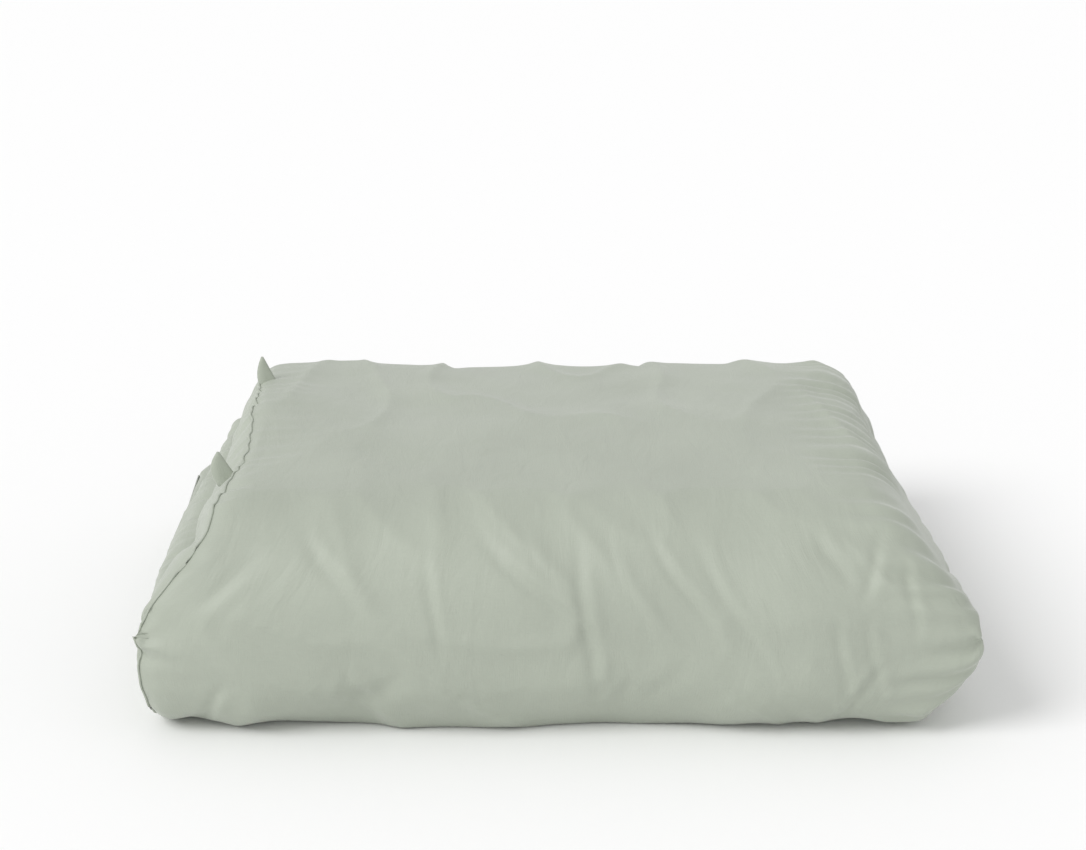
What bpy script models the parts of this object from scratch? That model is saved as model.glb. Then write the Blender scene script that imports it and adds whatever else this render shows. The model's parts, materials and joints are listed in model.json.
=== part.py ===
"""A duvet in its cover, folded in half twice into a soft block of four plies.

Metres, +Z up. X runs along the front fold, Y from the front fold to the back,
and the origin is at the centre of the footprint, on the surface it lies on.
The first fold is the right end of the block, the second one its front. The
block is two leaves of two plies each: the upper leaf opens about the front fold.
"""

import math

import bmesh
import bpy
from mathutils import Matrix, Vector

# Driving dimensions of the folded block.
BLOCK_WIDTH = 0.865
BLOCK_DEPTH = 0.640
BLOCK_HEIGHT = 0.240

# Clearance between pieces that touch.
FIT_GAP = 0.0003

# Points of a mesh this near each other are one, and an edge this flat isn't kept.
MERGE_DISTANCE = 1e-6
FLAT_ANGLE = math.radians(1)

# Cover.
COVER_WALL = 0.0015
COVER_END_ROUND_SHARE = 0.19
REVERSE_THICKNESS = 0.0012
REVERSE_PLY_GAP = 0.004
SLOT_FRONT_INSET = 0.060
SLOT_FOLD_INSET = 0.100
NOSE_SEGMENTS = 6
ROUND_SEGMENTS = 4

# Insert: a padded box of ticking for each ply, with fill stitched into squares.
TICKING_WALL = 0.0012
TICKING_ROUND_SHARE = 0.38
INSERT_INSET_EDGES = 0.075
INSERT_INSET_FOLD = 0.080
INNER_PLY_FRONT_INSET = 0.055
AIR_SHARE = 0.30
FILL_COLUMNS = 3
FILL_ROWS = 2
FILL_SPACING = 0.004
FILL_EXTRA_ROUND = 0.001

# Corner ties: a loop sewn to the insert and a tie sewn to the cover.
LOOP_RADIUS = 0.009
TIE_RADIUS = 0.009
TIE_COVER_GAP = 0.0006
CORD_RADIUS = 0.0012

# Blank care label in the insert's seam.
LABEL_LENGTH = 0.024
LABEL_WIDTH = 0.034
LABEL_THICKNESS = 0.0005

# Zip, in the left end of the lower leaf's upper ply.
ZIP_LENGTH = 0.400
ZIP_CENTRE_Y = 0.010
ZIP_WINDOW_HEIGHT = 0.018
ZIP_TAPE_OVERLAP = 0.002
ZIP_TAPE_THICKNESS = 0.0008
ZIP_COIL_RADIUS = 0.0012
ZIP_COIL_SPACING = 0.0020
COIL_SIDES = 12
COIL_SHARP_ANGLE = math.radians(40)
ZIP_STOP_LENGTH = 0.003
SLIDER_LENGTH = 0.011
SLIDER_HEIGHT = 0.008
SLIDER_PLATE = 0.0012
SLIDER_POST_LENGTH = 0.003
CROWN_LENGTH = 0.0072
CROWN_WIDTH = 0.0016
CROWN_BAR = 0.0010
CROWN_OVERLAP = 0.0003
PULL_PIN_RADIUS = 0.0007
PULL_THICKNESS = 0.0010
PULL_LENGTH = 0.026
PULL_WIDTH = 0.009
PULL_NECK_WIDTH = 0.006
PULL_EYE_WIDTH = 0.0036
PULL_EYE_LENGTH = 0.0052

# Places that follow from the sizes.
FOLD_HEIGHT = BLOCK_HEIGHT / 2
FRONT_Y = -BLOCK_DEPTH / 2
BACK_Y = BLOCK_DEPTH / 2
NOSE_RADIUS = BLOCK_HEIGHT / 2
NOSE_CENTRE_Y = FRONT_Y + NOSE_RADIUS
COVER_END_ROUND = COVER_END_ROUND_SHARE * NOSE_RADIUS
RIGHT_X = BLOCK_WIDTH / 2

# Half the height that the cover's inner fabric takes up between two plies of insert.
REVERSE_HALF = REVERSE_PLY_GAP / 2 + REVERSE_THICKNESS + FIT_GAP

# A leaf holds two plies of insert, with air over the upper one, so they share this height.
LEAF_HEIGHT = FOLD_HEIGHT - FIT_GAP / 2
AIR_OVER_INSERT = AIR_SHARE * LEAF_HEIGHT
INSERT_ROOM = LEAF_HEIGHT - 2 * COVER_WALL - FIT_GAP - AIR_OVER_INSERT - 2 * REVERSE_HALF
INSERT_HEIGHT = INSERT_ROOM / 2
TICKING_ROUND = TICKING_ROUND_SHARE * INSERT_HEIGHT
FILL_ROUND = TICKING_ROUND + FILL_EXTRA_ROUND

# The zip's coil centre lies this far behind the cover's left face, and the slider's
# crown is what reaches the block's left limit.
ZIP_DEPTH = COVER_WALL + FIT_GAP + ZIP_TAPE_THICKNESS / 2
PLATE_OUTER = ZIP_COIL_RADIUS + FIT_GAP + SLIDER_PLATE
PIN_HEIGHT = PLATE_OUTER + FIT_GAP + PULL_PIN_RADIUS
CROWN_UNDERSIDE = PIN_HEIGHT + PULL_PIN_RADIUS + FIT_GAP
CROWN_TOP = CROWN_UNDERSIDE + CROWN_BAR
LEFT_X = -BLOCK_WIDTH / 2 + CROWN_TOP - ZIP_DEPTH
ZIP_X = LEFT_X + ZIP_DEPTH


def clear_scene():
    for item in list(bpy.data.objects):
        bpy.data.objects.remove(item, do_unlink=True)


def new_collection(name):
    collection = bpy.data.collections.new(name)
    bpy.context.scene.collection.children.link(collection)
    return collection


def make_material(name, colour, roughness, metallic=0.0):
    material = bpy.data.materials.new(name)
    material.use_nodes = True
    shader = material.node_tree.nodes["Principled BSDF"]
    shader.inputs["Base Color"].default_value = (*colour, 1.0)
    shader.inputs["Roughness"].default_value = roughness
    shader.inputs["Metallic"].default_value = metallic
    return material


def add_part(name, mesh, material):
    mesh.name = name
    mesh.materials.clear()
    mesh.materials.append(material)
    part = bpy.data.objects.new(name, mesh)
    PARTS.objects.link(part)
    return part


def add_helper(name, mesh):
    """A cutter, or a piece that a Boolean joins to a part."""
    helper = bpy.data.objects.new(name, mesh)
    helper.hide_render = True
    helper.display_type = "WIRE"
    HELPERS.objects.link(helper)
    return helper


def mesh_from(form, name):
    bmesh.ops.recalc_face_normals(form, faces=form.faces)
    mesh = bpy.data.meshes.new(name)
    form.to_mesh(mesh)
    form.free()
    return mesh


def block_form(low, high):
    """A box between two corners."""
    low, high = Vector(low), Vector(high)
    form = bmesh.new()
    bmesh.ops.create_cube(form, size=1.0)
    bmesh.ops.scale(form, vec=high - low, verts=form.verts)
    bmesh.ops.translate(form, vec=(low + high) / 2, verts=form.verts)
    return form


def round_edges(form, edges, radius, segments):
    bmesh.ops.bevel(form, geom=edges, offset=radius, segments=segments, profile=0.5, affect="EDGES")


def box_mesh(name, low, high):
    return mesh_from(block_form(low, high), name)


def rounded_box_mesh(name, low, high, radius, segments=2):
    form = block_form(low, high)
    round_edges(form, list(form.edges), radius, segments)
    return mesh_from(form, name)


def arc(centre, radius, start, end, segments):
    """Points of an arc in its own plane, with angles in degrees."""
    points = []
    for step in range(segments + 1):
        angle = math.radians(start + (end - start) * step / segments)
        points.append((centre[0] + radius * math.cos(angle), centre[1] + radius * math.sin(angle)))
    return points


# Each turns an outline into the plane of two axes: its columns are where the outline's x,
# its y and its extrusion point.
OUTLINE_YZ = Matrix(((0, 0, 1), (1, 0, 0), (0, 1, 0))).to_4x4()
OUTLINE_XZ = Matrix(((1, 0, 0), (0, 0, -1), (0, 1, 0))).to_4x4()
OUTLINE_YX = Matrix(((0, 1, 0), (1, 0, 0), (0, 0, -1))).to_4x4()


def prism_form(outline, thickness, plane, centre):
    """A closed outline with a thickness, turned into its plane and moved to its centre."""
    curve = bpy.data.curves.new("outline", "CURVE")
    curve.dimensions = "2D"
    curve.fill_mode = "BOTH"
    curve.extrude = thickness / 2
    spline = curve.splines.new("POLY")
    spline.points.add(len(outline) - 1)
    for point, (across, up) in zip(spline.points, outline):
        point.co = (across, up, 0.0, 1.0)
    spline.use_cyclic_u = True
    holder = bpy.data.objects.new("outline", curve)
    HELPERS.objects.link(holder)
    bpy.context.view_layer.update()
    evaluated = holder.evaluated_get(bpy.context.evaluated_depsgraph_get())
    mesh = bpy.data.meshes.new_from_object(evaluated)
    form = bmesh.new()
    form.from_mesh(mesh)
    bpy.data.objects.remove(holder, do_unlink=True)
    bpy.data.curves.remove(curve)
    bpy.data.meshes.remove(mesh)
    bmesh.ops.remove_doubles(form, verts=form.verts, dist=MERGE_DISTANCE)
    bmesh.ops.dissolve_limit(form, angle_limit=FLAT_ANGLE, verts=form.verts, edges=form.edges)
    bmesh.ops.transform(form, matrix=Matrix.Translation(centre) @ plane, verts=form.verts)
    return form


def add_boolean(part, operation, other):
    modifier = part.modifiers.new(other.name, "BOOLEAN")
    modifier.operation = operation
    modifier.solver = "EXACT"
    modifier.object = other


def leaf_form(bottom, inset):
    """One leaf of the block: flat inside face, a quarter-round nose at the front fold."""
    nose = NOSE_RADIUS - inset
    lower = bottom < FOLD_HEIGHT
    top = bottom + LEAF_HEIGHT
    inner_face = (top - inset) if lower else (bottom + inset)
    outer_face = (bottom + inset) if lower else (top - inset)
    rise = math.degrees(math.asin(abs(FOLD_HEIGHT - inner_face) / nose))
    if lower:
        front = arc((NOSE_CENTRE_Y, FOLD_HEIGHT), nose, 180 + rise, 270, NOSE_SEGMENTS)
    else:
        front = arc((NOSE_CENTRE_Y, FOLD_HEIGHT), nose, 180 - rise, 90, NOSE_SEGMENTS)
    outline = front + [(BACK_Y - inset, outer_face), (BACK_Y - inset, inner_face)]
    low_x, high_x = LEFT_X + inset, RIGHT_X - inset
    form = prism_form(outline, high_x - low_x, OUTLINE_YZ, ((low_x + high_x) / 2, 0, 0))
    soft = []
    for edge in form.edges:
        ends = [vertex.co for vertex in edge.verts]
        across = abs(ends[0].x - ends[1].x) > FIT_GAP
        at_back = all(abs(end.y - (BACK_Y - inset)) < FIT_GAP for end in ends)
        if at_back or not across:
            soft.append(edge)
    round_edges(form, soft, COVER_END_ROUND - inset, ROUND_SEGMENTS)
    return form


def seam_height(bottom):
    """The height of the gap between a leaf's two plies, where the cover's seams lie."""
    return bottom + COVER_WALL + FIT_GAP + INSERT_HEIGHT + REVERSE_HALF


def make_cover_face(leaf, bottom):
    """The outer fabric of a leaf, open along its seams at the left end and the back."""
    outer = mesh_from(leaf_form(bottom, 0.0), leaf)
    part = add_part(leaf + "_cover_face", outer, MATERIALS["cover_face"])
    cavity = add_helper(leaf + "_cavity", mesh_from(leaf_form(bottom, COVER_WALL), leaf + "_cavity"))
    add_boolean(part, "DIFFERENCE", cavity)
    middle = seam_height(bottom)
    beyond = 2 * COVER_WALL
    low = (LEFT_X - beyond, FRONT_Y + SLOT_FRONT_INSET, middle - REVERSE_HALF)
    high = (RIGHT_X - SLOT_FOLD_INSET, BACK_Y + beyond, middle + REVERSE_HALF)
    slot = add_helper(leaf + "_seam_slot", box_mesh(leaf + "_seam_slot", low, high))
    add_boolean(part, "DIFFERENCE", slot)
    return part


def make_cover_reverse(leaf, bottom):
    """The inner fabric of a leaf: two layers that turn round together at the right end."""
    middle = seam_height(bottom)
    inner = REVERSE_PLY_GAP / 2
    outer = inner + REVERSE_THICKNESS
    left = LEFT_X + FIT_GAP
    turn = RIGHT_X - SLOT_FOLD_INSET - FIT_GAP - outer
    outline = [(left, middle - outer)]
    outline += arc((turn, middle), outer, -90, 90, ROUND_SEGMENTS * 2)
    outline += [(left, middle + outer), (left, middle + inner)]
    outline += arc((turn, middle), inner, 90, -90, ROUND_SEGMENTS * 2)
    outline += [(left, middle - inner)]
    front = FRONT_Y + SLOT_FRONT_INSET + FIT_GAP
    back = BACK_Y - FIT_GAP
    form = prism_form(outline, back - front, OUTLINE_XZ, (0, (front + back) / 2, 0))
    return add_part(leaf + "_cover_reverse", mesh_from(form, leaf), MATERIALS["cover_reverse"])


def tray_mesh(name, low, high, open_top):
    """Half of the ticking, as an open surface: one sheet with its sides turned up or down."""
    form = block_form(low, high)
    open_height = high[2] if open_top else low[2]
    opening = [
        face for face in form.faces
        if all(abs(vertex.co.z - open_height) < FIT_GAP for vertex in face.verts)
    ]
    bmesh.ops.delete(form, geom=opening, context="FACES")
    closed_edges = [edge for edge in form.edges if not edge.is_boundary]
    round_edges(form, closed_edges, TICKING_ROUND, 2)
    mesh = bpy.data.meshes.new(name)
    form.to_mesh(mesh)
    form.free()
    return mesh


def add_ticking(name, low, high, open_top):
    part = add_part(name, tray_mesh(name, low, high, open_top), MATERIALS["ticking"])
    wall = part.modifiers.new("wall", "SOLIDIFY")
    wall.thickness = TICKING_WALL
    wall.offset = -1.0
    wall.use_even_offset = True
    return part


def make_fill(ply, low, high):
    """The fill of one ply, held in squares by the stitching of the ticking."""
    clear = TICKING_WALL + FIT_GAP
    low = Vector(low) + Vector((clear, clear, clear))
    high = Vector(high) - Vector((clear, clear, clear))
    pocket_x = (high.x - low.x - (FILL_COLUMNS - 1) * FILL_SPACING) / FILL_COLUMNS
    pocket_y = (high.y - low.y - (FILL_ROWS - 1) * FILL_SPACING) / FILL_ROWS
    for column in range(FILL_COLUMNS):
        for row in range(FILL_ROWS):
            start_x = low.x + column * (pocket_x + FILL_SPACING)
            start_y = low.y + row * (pocket_y + FILL_SPACING)
            name = f"{ply}_fill_{row * FILL_COLUMNS + column + 1}"
            corner = (start_x, start_y, low.z)
            opposite = (start_x + pocket_x, start_y + pocket_y, high.z)
            mesh = rounded_box_mesh(name, corner, opposite, FILL_ROUND)
            add_part(name, mesh, MATERIALS["fill"])


def add_link(name, radius, stretch, centre, along, across):
    """A closed link of cord: two half circles, with their centres a stretch apart."""
    curve = bpy.data.curves.new(name, "CURVE")
    curve.dimensions = "3D"
    curve.bevel_depth = CORD_RADIUS
    curve.bevel_resolution = 1
    curve.materials.append(MATERIALS["ribbon"])
    outline = arc((stretch / 2, 0), radius, -90, 90, ROUND_SEGMENTS * 2)
    outline += arc((-stretch / 2, 0), radius, 90, 270, ROUND_SEGMENTS * 2)
    if stretch == 0:
        outline = arc((0, 0), radius, 0, 360, ROUND_SEGMENTS * 4)[:-1]
    spline = curve.splines.new("POLY")
    spline.points.add(len(outline) - 1)
    for point, (far, aside) in zip(spline.points, outline):
        point.co = (*(along * far + across * aside), 1.0)
    spline.use_cyclic_u = True
    link = bpy.data.objects.new(name, curve)
    link.location = centre
    PARTS.objects.link(link)


def make_corner_tie(ply, low, high):
    """A loop on the insert's back left corner, linked to a tie sewn in the cover's corner."""
    outward = Vector((-1, 1, 0)).normalized()
    round_share = math.sqrt(2) - 1
    middle = (low[2] + high[2]) / 2
    insert_corner = Vector((low[0], high[1], middle)) - outward * TICKING_ROUND * round_share
    loop_centre = insert_corner + outward * (FIT_GAP + CORD_RADIUS + LOOP_RADIUS)
    sideways = Vector((1, 1, 0)).normalized()
    add_link(ply + "_corner_loop", LOOP_RADIUS, 0, loop_centre, outward, sideways)

    cover_round = (COVER_END_ROUND - COVER_WALL) * round_share
    cover_corner = Vector((LEFT_X + COVER_WALL, BACK_Y - COVER_WALL, middle)) - outward * cover_round
    near = loop_centre + outward * (LOOP_RADIUS - 2 * CORD_RADIUS - FIT_GAP)
    far = cover_corner - outward * (TIE_COVER_GAP + CORD_RADIUS)
    stretch = (far - near).length - 2 * TIE_RADIUS
    add_link(ply + "_corner_tie", TIE_RADIUS, stretch, (near + far) / 2, outward, Vector((0, 0, 1)))


def make_insert_ply(ply, floor, ceiling, outer_ply):
    """The padded insert of one ply, lying between two heights. Returns its box."""
    front_inset = NOSE_RADIUS if outer_ply else INNER_PLY_FRONT_INSET
    low = (LEFT_X + INSERT_INSET_EDGES, FRONT_Y + front_inset, floor)
    high = (RIGHT_X - INSERT_INSET_FOLD, BACK_Y - INSERT_INSET_EDGES, ceiling)
    seam = (floor + ceiling) / 2
    add_ticking(ply + "_ticking_bottom", low, (high[0], high[1], seam - FIT_GAP / 2), True)
    add_ticking(ply + "_ticking_top", (low[0], low[1], seam + FIT_GAP / 2), high, False)
    make_fill(ply, low, high)
    make_corner_tie(ply, low, high)
    return low, high


def make_care_label(low, high):
    """A blank flag in the seam of the insert's left side."""
    middle_y = (low[1] + high[1]) / 2
    middle_z = (low[2] + high[2]) / 2
    end_x = low[0] - FIT_GAP
    corner = (end_x - LABEL_LENGTH, middle_y - LABEL_WIDTH / 2, middle_z - LABEL_THICKNESS / 2)
    opposite = (end_x, middle_y + LABEL_WIDTH / 2, middle_z + LABEL_THICKNESS / 2)
    add_part("insert_care_label", box_mesh("insert_care_label", corner, opposite), MATERIALS["ribbon"])


def make_leaf(leaf, bottom, first_ply):
    """A leaf's cover and its two plies of insert. Returns the cover and the lower ply's box."""
    face = make_cover_face(leaf, bottom)
    make_cover_reverse(leaf, bottom)
    seam = seam_height(bottom)
    floor = bottom + COVER_WALL + FIT_GAP
    ceiling = bottom + LEAF_HEIGHT - COVER_WALL - AIR_OVER_INSERT
    lower_leaf = first_ply == 1
    box = make_insert_ply(f"ply_{first_ply}", floor, seam - REVERSE_HALF, lower_leaf)
    make_insert_ply(f"ply_{first_ply + 1}", seam + REVERSE_HALF, ceiling, not lower_leaf)
    return face, box


def cylinder_mesh(name, radius, length, direction, centre):
    form = bmesh.new()
    turn = Vector((0, 0, 1)).rotation_difference(Vector(direction)).to_matrix().to_4x4()
    bmesh.ops.create_cone(
        form, cap_ends=True, segments=COIL_SIDES, radius1=radius, radius2=radius, depth=length,
        matrix=Matrix.Translation(centre) @ turn,
    )
    return mesh_from(form, name)


def make_zip_chain(face, zip_z):
    """The window in the cover, and the tapes, coils and stops that close it."""
    start_y = ZIP_CENTRE_Y - ZIP_LENGTH / 2
    end_y = ZIP_CENTRE_Y + ZIP_LENGTH / 2
    half_window = ZIP_WINDOW_HEIGHT / 2
    low = (LEFT_X - COVER_WALL, start_y - FIT_GAP, zip_z - half_window)
    high = (LEFT_X + 2 * COVER_WALL, end_y + FIT_GAP, zip_z + half_window)
    window = add_helper("zip_window", box_mesh("zip_window", low, high))
    add_boolean(face, "DIFFERENCE", window)

    tape_inner = ZIP_COIL_SPACING / 2 + 2 * ZIP_COIL_RADIUS + FIT_GAP
    tape_outer = half_window + ZIP_TAPE_OVERLAP
    coil_offset = ZIP_COIL_SPACING / 2 + ZIP_COIL_RADIUS
    half_tape = ZIP_TAPE_THICKNESS / 2
    for side, sign in (("upper", 1), ("lower", -1)):
        edges = sorted((sign * tape_inner, sign * tape_outer))
        low = (ZIP_X - half_tape, start_y, zip_z + edges[0])
        high = (ZIP_X + half_tape, end_y, zip_z + edges[1])
        name = f"zip_tape_{side}"
        add_part(name, box_mesh(name, low, high), MATERIALS["zip_tape"])
        chain_length = ZIP_LENGTH - 2 * (ZIP_STOP_LENGTH + FIT_GAP)
        centre = (ZIP_X, ZIP_CENTRE_Y, zip_z + sign * coil_offset)
        name = f"zip_coil_{side}"
        coil = cylinder_mesh(name, ZIP_COIL_RADIUS, chain_length, (0, 1, 0), centre)
        coil.set_sharp_from_angle(angle=COIL_SHARP_ANGLE)
        add_part(name, coil, MATERIALS["zip_coil"])
        top_stop = ((ZIP_X - ZIP_COIL_RADIUS, start_y, centre[2] - ZIP_COIL_RADIUS),
                    (ZIP_X + ZIP_COIL_RADIUS, start_y + ZIP_STOP_LENGTH, centre[2] + ZIP_COIL_RADIUS))
        name = f"zip_top_stop_{side}"
        add_part(name, box_mesh(name, *top_stop), MATERIALS["metal"])

    reach = coil_offset + ZIP_COIL_RADIUS
    low = (ZIP_X - ZIP_COIL_RADIUS, end_y - ZIP_STOP_LENGTH, zip_z - reach)
    high = (ZIP_X + ZIP_COIL_RADIUS, end_y, zip_z + reach)
    add_part("zip_bottom_stop", box_mesh("zip_bottom_stop", low, high), MATERIALS["metal"])


def make_slider(zip_z):
    """The slider at the closed end of the zip: two plates, a post and a crown for the pull."""
    rest_y = ZIP_CENTRE_Y - ZIP_LENGTH / 2 + ZIP_STOP_LENGTH + 2 * FIT_GAP + SLIDER_LENGTH / 2
    half_y = SLIDER_LENGTH / 2
    half_z = SLIDER_HEIGHT / 2
    plate_inner = ZIP_COIL_RADIUS + FIT_GAP

    def plate(name, near, far):
        low = (ZIP_X + near, rest_y - half_y, zip_z - half_z)
        high = (ZIP_X + far, rest_y + half_y, zip_z + half_z)
        form = block_form(low, high)
        upright = [edge for edge in form.edges if abs(edge.verts[0].co.x - edge.verts[1].co.x) > FIT_GAP]
        round_edges(form, upright, half_z / 2, 2)
        return mesh_from(form, name)

    slider = add_part("zip_slider", plate("zip_slider", -PLATE_OUTER, -plate_inner), MATERIALS["metal"])
    back = add_helper("slider_back_plate", plate("slider_back_plate", plate_inner, PLATE_OUTER))
    post_half = ZIP_COIL_SPACING / 2 - FIT_GAP
    post_overlap = SLIDER_PLATE / 2
    post_low = (ZIP_X - plate_inner - post_overlap, rest_y - SLIDER_POST_LENGTH / 2, zip_z - post_half)
    post_high = (ZIP_X + plate_inner + post_overlap, rest_y + SLIDER_POST_LENGTH / 2, zip_z + post_half)
    post = add_helper("slider_post", box_mesh("slider_post", post_low, post_high))

    half_crown = CROWN_LENGTH / 2
    inner_crown = half_crown - CROWN_BAR
    foot = -(PLATE_OUTER - CROWN_OVERLAP)
    outline = [
        (-half_crown, foot), (-half_crown, -CROWN_TOP), (half_crown, -CROWN_TOP), (half_crown, foot),
        (inner_crown, foot), (inner_crown, -CROWN_UNDERSIDE), (-inner_crown, -CROWN_UNDERSIDE),
        (-inner_crown, foot),
    ]
    crown_form = prism_form(outline, CROWN_WIDTH, OUTLINE_YX, (ZIP_X, rest_y, zip_z))
    crown = add_helper("slider_crown", mesh_from(crown_form, "slider_crown"))
    for piece in (post, back, crown):
        add_boolean(slider, "UNION", piece)
    return rest_y


def make_pull_tab(zip_z, slider_y):
    """A flat pull with an eye round the slider's crown and a round pin on the joint's axis."""
    pin_x = ZIP_X - PIN_HEIGHT
    pivot = bpy.data.objects.new("pull_pivot", None)
    pivot.location = (pin_x, slider_y, zip_z)
    PARTS.objects.link(pivot)
    half_width = PULL_WIDTH / 2
    half_neck = PULL_NECK_WIDTH / 2
    shoulder = PULL_EYE_LENGTH + half_neck
    tip = arc((PULL_LENGTH - half_width, 0), half_width, -90, 90, ROUND_SEGMENTS * 2)
    outline = [(0, -half_neck), (PULL_EYE_LENGTH, -half_neck), (shoulder, -half_width)]
    outline += tip
    outline += [(shoulder, half_width), (PULL_EYE_LENGTH, half_neck), (0, half_neck)]
    form = prism_form(outline, PULL_THICKNESS, OUTLINE_YZ, (0, 0, 0))
    pull = add_part("zip_pull_tab", mesh_from(form, "zip_pull_tab"), MATERIALS["metal"])
    pull.parent = pivot
    half_eye = PULL_EYE_WIDTH / 2
    eye_low = (-PULL_THICKNESS, -PULL_EYE_LENGTH, -half_eye)
    eye_high = (PULL_THICKNESS, PULL_EYE_LENGTH, half_eye)
    eye = add_helper("pull_eye", box_mesh("pull_eye", eye_low, eye_high))
    pin_mesh = cylinder_mesh("pull_pin", PULL_PIN_RADIUS, PULL_NECK_WIDTH, (0, 0, 1), (0, 0, 0))
    pin = add_helper("pull_pin", pin_mesh)
    for helper in (eye, pin):
        helper.parent = pivot
    add_boolean(pull, "DIFFERENCE", eye)
    add_boolean(pull, "UNION", pin)


clear_scene()
PARTS = new_collection("folded_duvet")
HELPERS = new_collection("helpers")
MATERIALS = {
    "cover_face": make_material("cover_face", (0.40, 0.45, 0.37), 0.70),
    "cover_reverse": make_material("cover_reverse", (0.37, 0.42, 0.34), 0.75),
    "ticking": make_material("ticking", (0.86, 0.86, 0.84), 0.85),
    "fill": make_material("fill", (0.92, 0.92, 0.91), 0.95),
    "ribbon": make_material("ribbon", (0.90, 0.90, 0.88), 0.80),
    "zip_tape": make_material("zip_tape", (0.36, 0.41, 0.33), 0.80),
    "zip_coil": make_material("zip_coil", (0.35, 0.40, 0.32), 0.45),
    "metal": make_material("metal", (0.62, 0.62, 0.60), 0.30, 1.0),
}

lower_face, ply_1_box = make_leaf("lower", 0.0, 1)
make_leaf("upper", FOLD_HEIGHT + FIT_GAP / 2, 3)
make_care_label(*ply_1_box)

# The zip lies in the middle of the flat wall between the seam slot and the round top edge.
slot_top = seam_height(0.0) + REVERSE_HALF
zip_height = (LEAF_HEIGHT - COVER_END_ROUND + slot_top) / 2
make_zip_chain(lower_face, zip_height)
make_pull_tab(zip_height, make_slider(zip_height))
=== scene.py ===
"""Looks of the folded duvet: the cotton cover as one padded, wrinkled mesh, and its zip in detail."""

import json
import math

import bmesh
import bpy
import numpy as np
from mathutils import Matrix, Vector, noise

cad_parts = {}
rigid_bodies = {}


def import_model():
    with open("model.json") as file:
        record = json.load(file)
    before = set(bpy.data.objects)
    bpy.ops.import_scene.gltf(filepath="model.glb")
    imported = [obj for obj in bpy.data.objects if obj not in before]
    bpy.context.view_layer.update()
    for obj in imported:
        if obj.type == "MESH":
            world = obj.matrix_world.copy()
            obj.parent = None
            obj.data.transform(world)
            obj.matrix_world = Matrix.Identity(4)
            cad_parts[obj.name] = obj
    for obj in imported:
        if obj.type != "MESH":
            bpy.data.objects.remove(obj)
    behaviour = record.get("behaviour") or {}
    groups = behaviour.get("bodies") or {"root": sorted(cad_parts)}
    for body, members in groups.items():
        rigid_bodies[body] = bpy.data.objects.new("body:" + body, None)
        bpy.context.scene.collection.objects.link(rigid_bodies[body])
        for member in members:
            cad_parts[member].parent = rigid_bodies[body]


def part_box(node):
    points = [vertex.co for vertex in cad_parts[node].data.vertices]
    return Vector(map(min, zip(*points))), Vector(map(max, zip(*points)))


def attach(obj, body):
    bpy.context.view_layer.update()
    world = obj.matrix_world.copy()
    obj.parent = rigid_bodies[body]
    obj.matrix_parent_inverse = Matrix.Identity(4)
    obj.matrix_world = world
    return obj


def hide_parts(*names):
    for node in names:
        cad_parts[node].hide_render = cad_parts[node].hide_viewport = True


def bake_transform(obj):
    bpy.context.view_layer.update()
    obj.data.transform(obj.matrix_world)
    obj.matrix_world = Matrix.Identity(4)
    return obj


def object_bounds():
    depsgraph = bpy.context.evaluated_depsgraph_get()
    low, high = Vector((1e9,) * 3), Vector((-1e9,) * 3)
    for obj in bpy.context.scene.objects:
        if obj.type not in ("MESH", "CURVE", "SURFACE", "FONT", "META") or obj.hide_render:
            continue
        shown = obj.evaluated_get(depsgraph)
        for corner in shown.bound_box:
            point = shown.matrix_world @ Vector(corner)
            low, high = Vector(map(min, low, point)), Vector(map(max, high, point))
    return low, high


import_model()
CAD_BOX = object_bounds()

# Sizes and places read from the CAD frame.
LOW, HIGH = (Vector(corner) for corner in CAD_BOX)
WIDTH = HIGH.x - LOW.x
HEIGHT = HIGH.z - LOW.z
FRONT_Y, BACK_Y = LOW.y, HIGH.y
FOLD_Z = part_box("upper_cover_face")[0][2]
LEAF = HEIGHT / 2
COVER_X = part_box("lower_cover_face")[0][0]
TAPE_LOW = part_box("zip_tape_lower")[0]
TAPE_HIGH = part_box("zip_tape_upper")[1]
SLIDER_BACK_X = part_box("zip_slider")[1][0]
REVERSE_BOXES = [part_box(leaf + "_cover_reverse") for leaf in ("lower", "upper")]
SEAM_HEIGHTS = [(low[2] + high[2]) / 2 for low, high in REVERSE_BOXES]

# The grid of the padded form: quads across, round the fold and through each leaf.
QUADS_ACROSS = 140
QUADS_ROUND = 220
QUADS_THROUGH = 18

# The outside of the fold, seen from the end. SWELL is the room that the blown-up fabric takes up.
SWELL = 0.007
NOSE_DEPTH = 0.150
NOSE_FULLNESS_LOW = 4.6
NOSE_FULLNESS_HIGH = 2.3
CREST_Z = 0.985 * HEIGHT - SWELL
BACK_TOP_Z = 0.83 * HEIGHT - SWELL
HALF_WIDTH = WIDTH / 2 - SWELL / 2
NOSE_POINTS = 61
TOP_POINTS = 21

# The slit between the leaves. It sinks towards the back, and each leaf's fabric sags on its own side of it.
# BLEND_HALF is how far either side of its middle the fabric passes from one leaf's motion to the other's.
SLIT_HALF = 0.0008
SLIT_TILT = 0.025
SLIT_SAG_START = NOSE_DEPTH / 3
SLIT_SAG_LOW = 0.007
SLIT_SAG_HIGH = 0.8 * SLIT_TILT
SLIT_FRONT = 0.008
SLIT_POINTS = 7

# How much each end draws in at its foot, at its top and at its back, as shares of half the width.
# Each pair holds the heights between which that comes or goes.
FOOT_LEFT = 0.045
FOOT_RIGHT = 0.120
FOOT_HEIGHTS = (-0.020, 0.100)
SHOULDER = 0.205
SHOULDER_HEIGHTS = (0.110, HEIGHT)
TAPER_LEFT = 0.075
TAPER_RIGHT = 0.110
TAPER_START_HEIGHTS = (0.045, 0.125)
TAPER_END_HEIGHTS = (0.150, 0.210)
TAPER_LOSS = 0.6

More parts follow.
